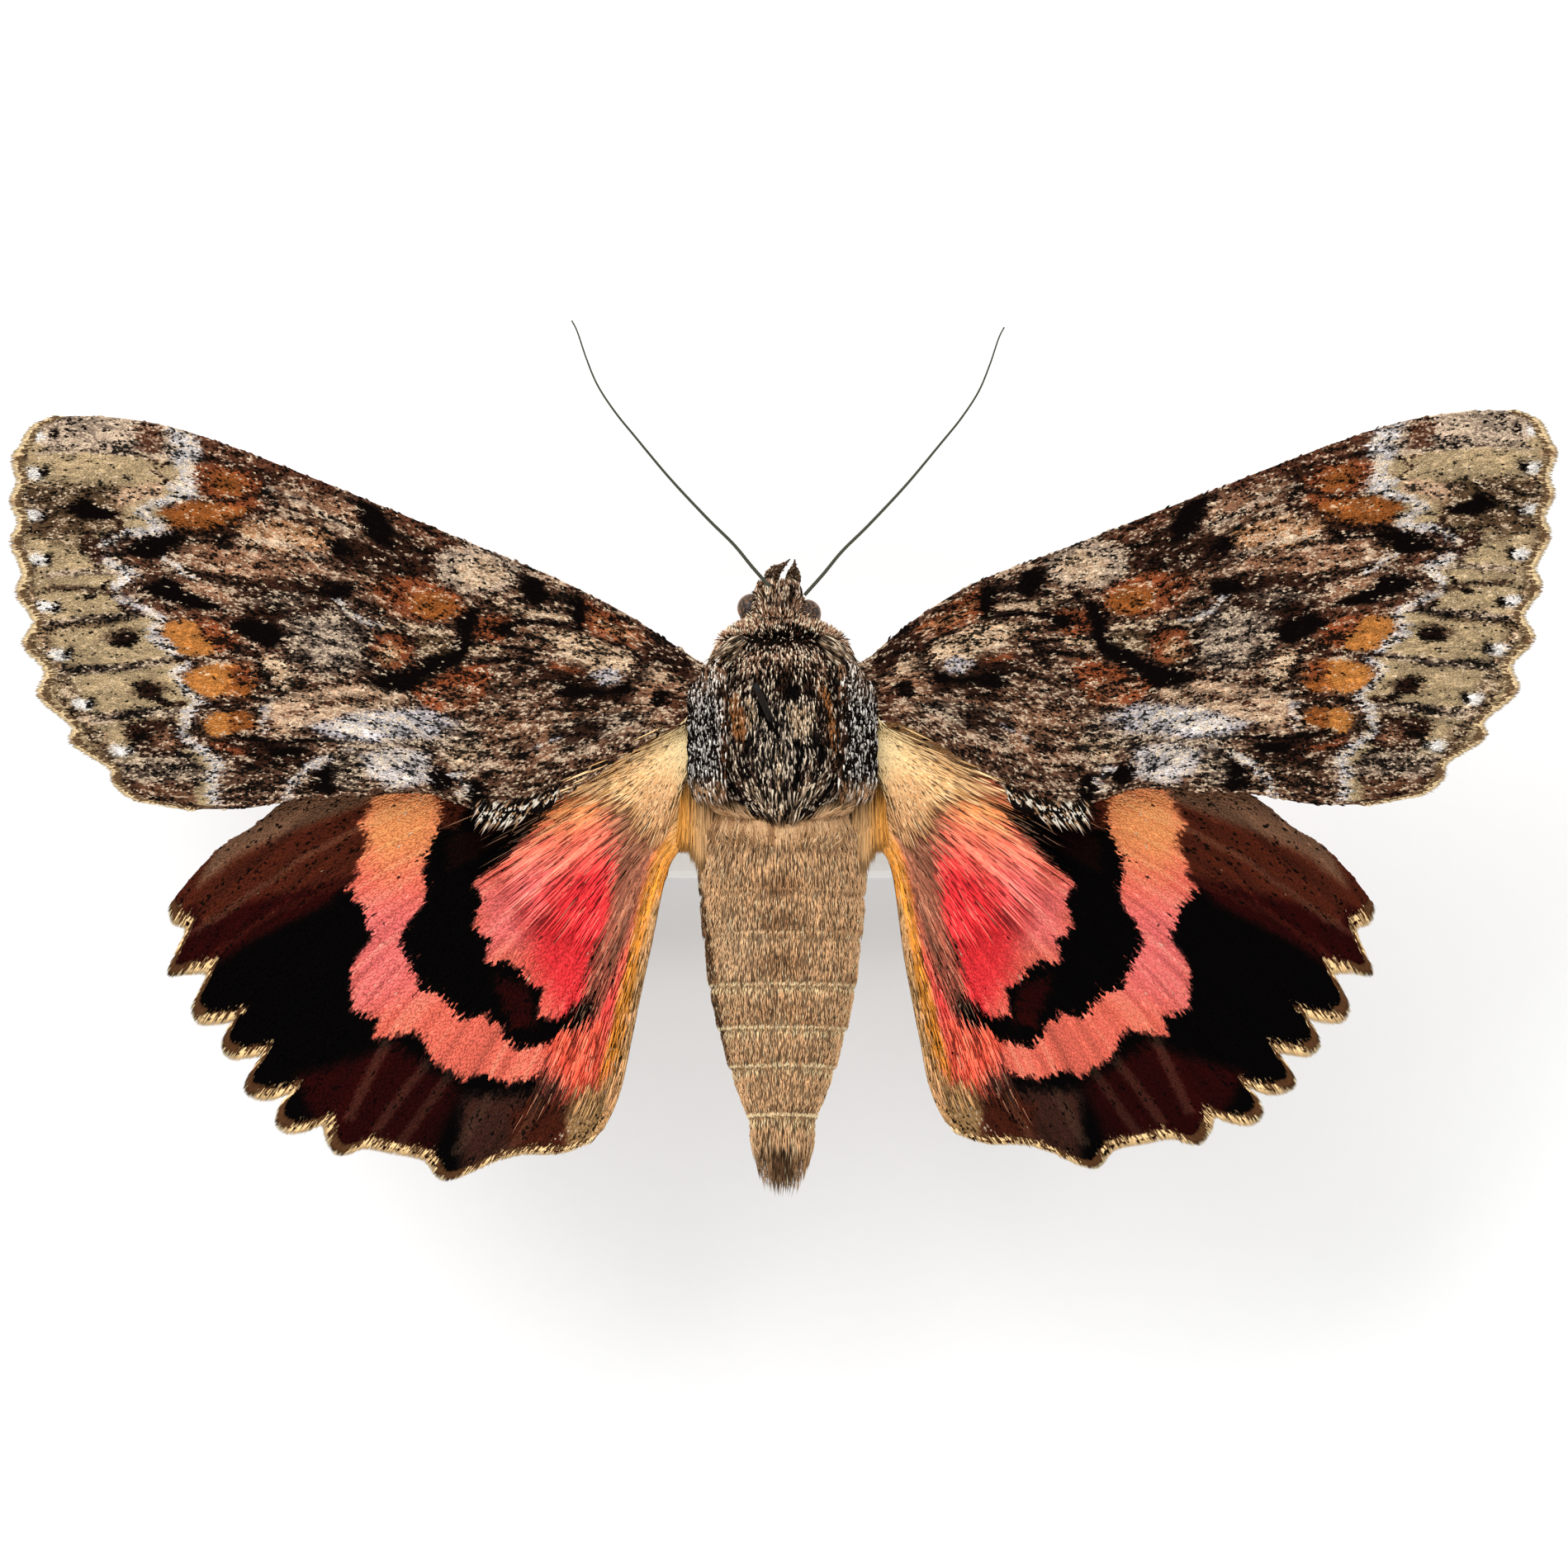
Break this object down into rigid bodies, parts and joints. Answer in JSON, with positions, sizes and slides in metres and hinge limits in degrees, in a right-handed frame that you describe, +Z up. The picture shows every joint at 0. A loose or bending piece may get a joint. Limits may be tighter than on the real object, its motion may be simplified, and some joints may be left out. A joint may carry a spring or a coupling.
{
  "type": "underwing moth",
  "caption": "Life-size still model of a crimson underwing moth with its wings set open, held on a rod over a small flat display base.",
  "frame": {"origin": "centre of the underside of the display base, on the floor plane", "axes": "+Z up, +Y towards the moth's head, +X towards the tips of its right wings"},
  "size_m": [0.0701, 0.0399, 0.029],
  "materials": {
    "stand_paint": "satin white paint",
    "stand_steel": "blackened steel",
    "body_hair": "matt hair and scales",
    "abdomen_hair": "matt hair and scales",
    "forewing_scales": "matt overlapping scales",
    "hindwing_scales": "matt overlapping scales",
    "eye": "finely faceted gloss",
    "horn_brown": "horn under fine scales"
  },
  "bodies": {
    "root": {"stand_base": "stand_paint", "stand_rod": "stand_steel", "stand_pin": "stand_steel", "thorax": "body_hair", "collar": "body_hair", "tegula_left": "body_hair", "tegula_right": "body_hair", "head": "body_hair", "eye_left": "eye", "eye_right": "eye", "palp_left": "horn_brown", "palp_right": "horn_brown", "proboscis": "horn_brown", "antenna_left": "horn_brown", "antenna_right": "horn_brown", "leg_fore_left": "horn_brown", "leg_fore_right": "horn_brown", "leg_mid_left": "horn_brown", "leg_mid_right": "horn_brown", "leg_hind_left": "horn_brown", "leg_hind_right": "horn_brown", "abdomen_1": "abdomen_hair", "abdomen_2": "abdomen_hair", "abdomen_3": "abdomen_hair", "abdomen_4": "abdomen_hair", "abdomen_5": "abdomen_hair", "abdomen_6": "abdomen_hair", "tail_tuft": "abdomen_hair", "forewing_left": "forewing_scales", "forewing_right": "forewing_scales", "hindwing_left": "hindwing_scales", "hindwing_right": "hindwing_scales"}
  },
  "joints": []
}
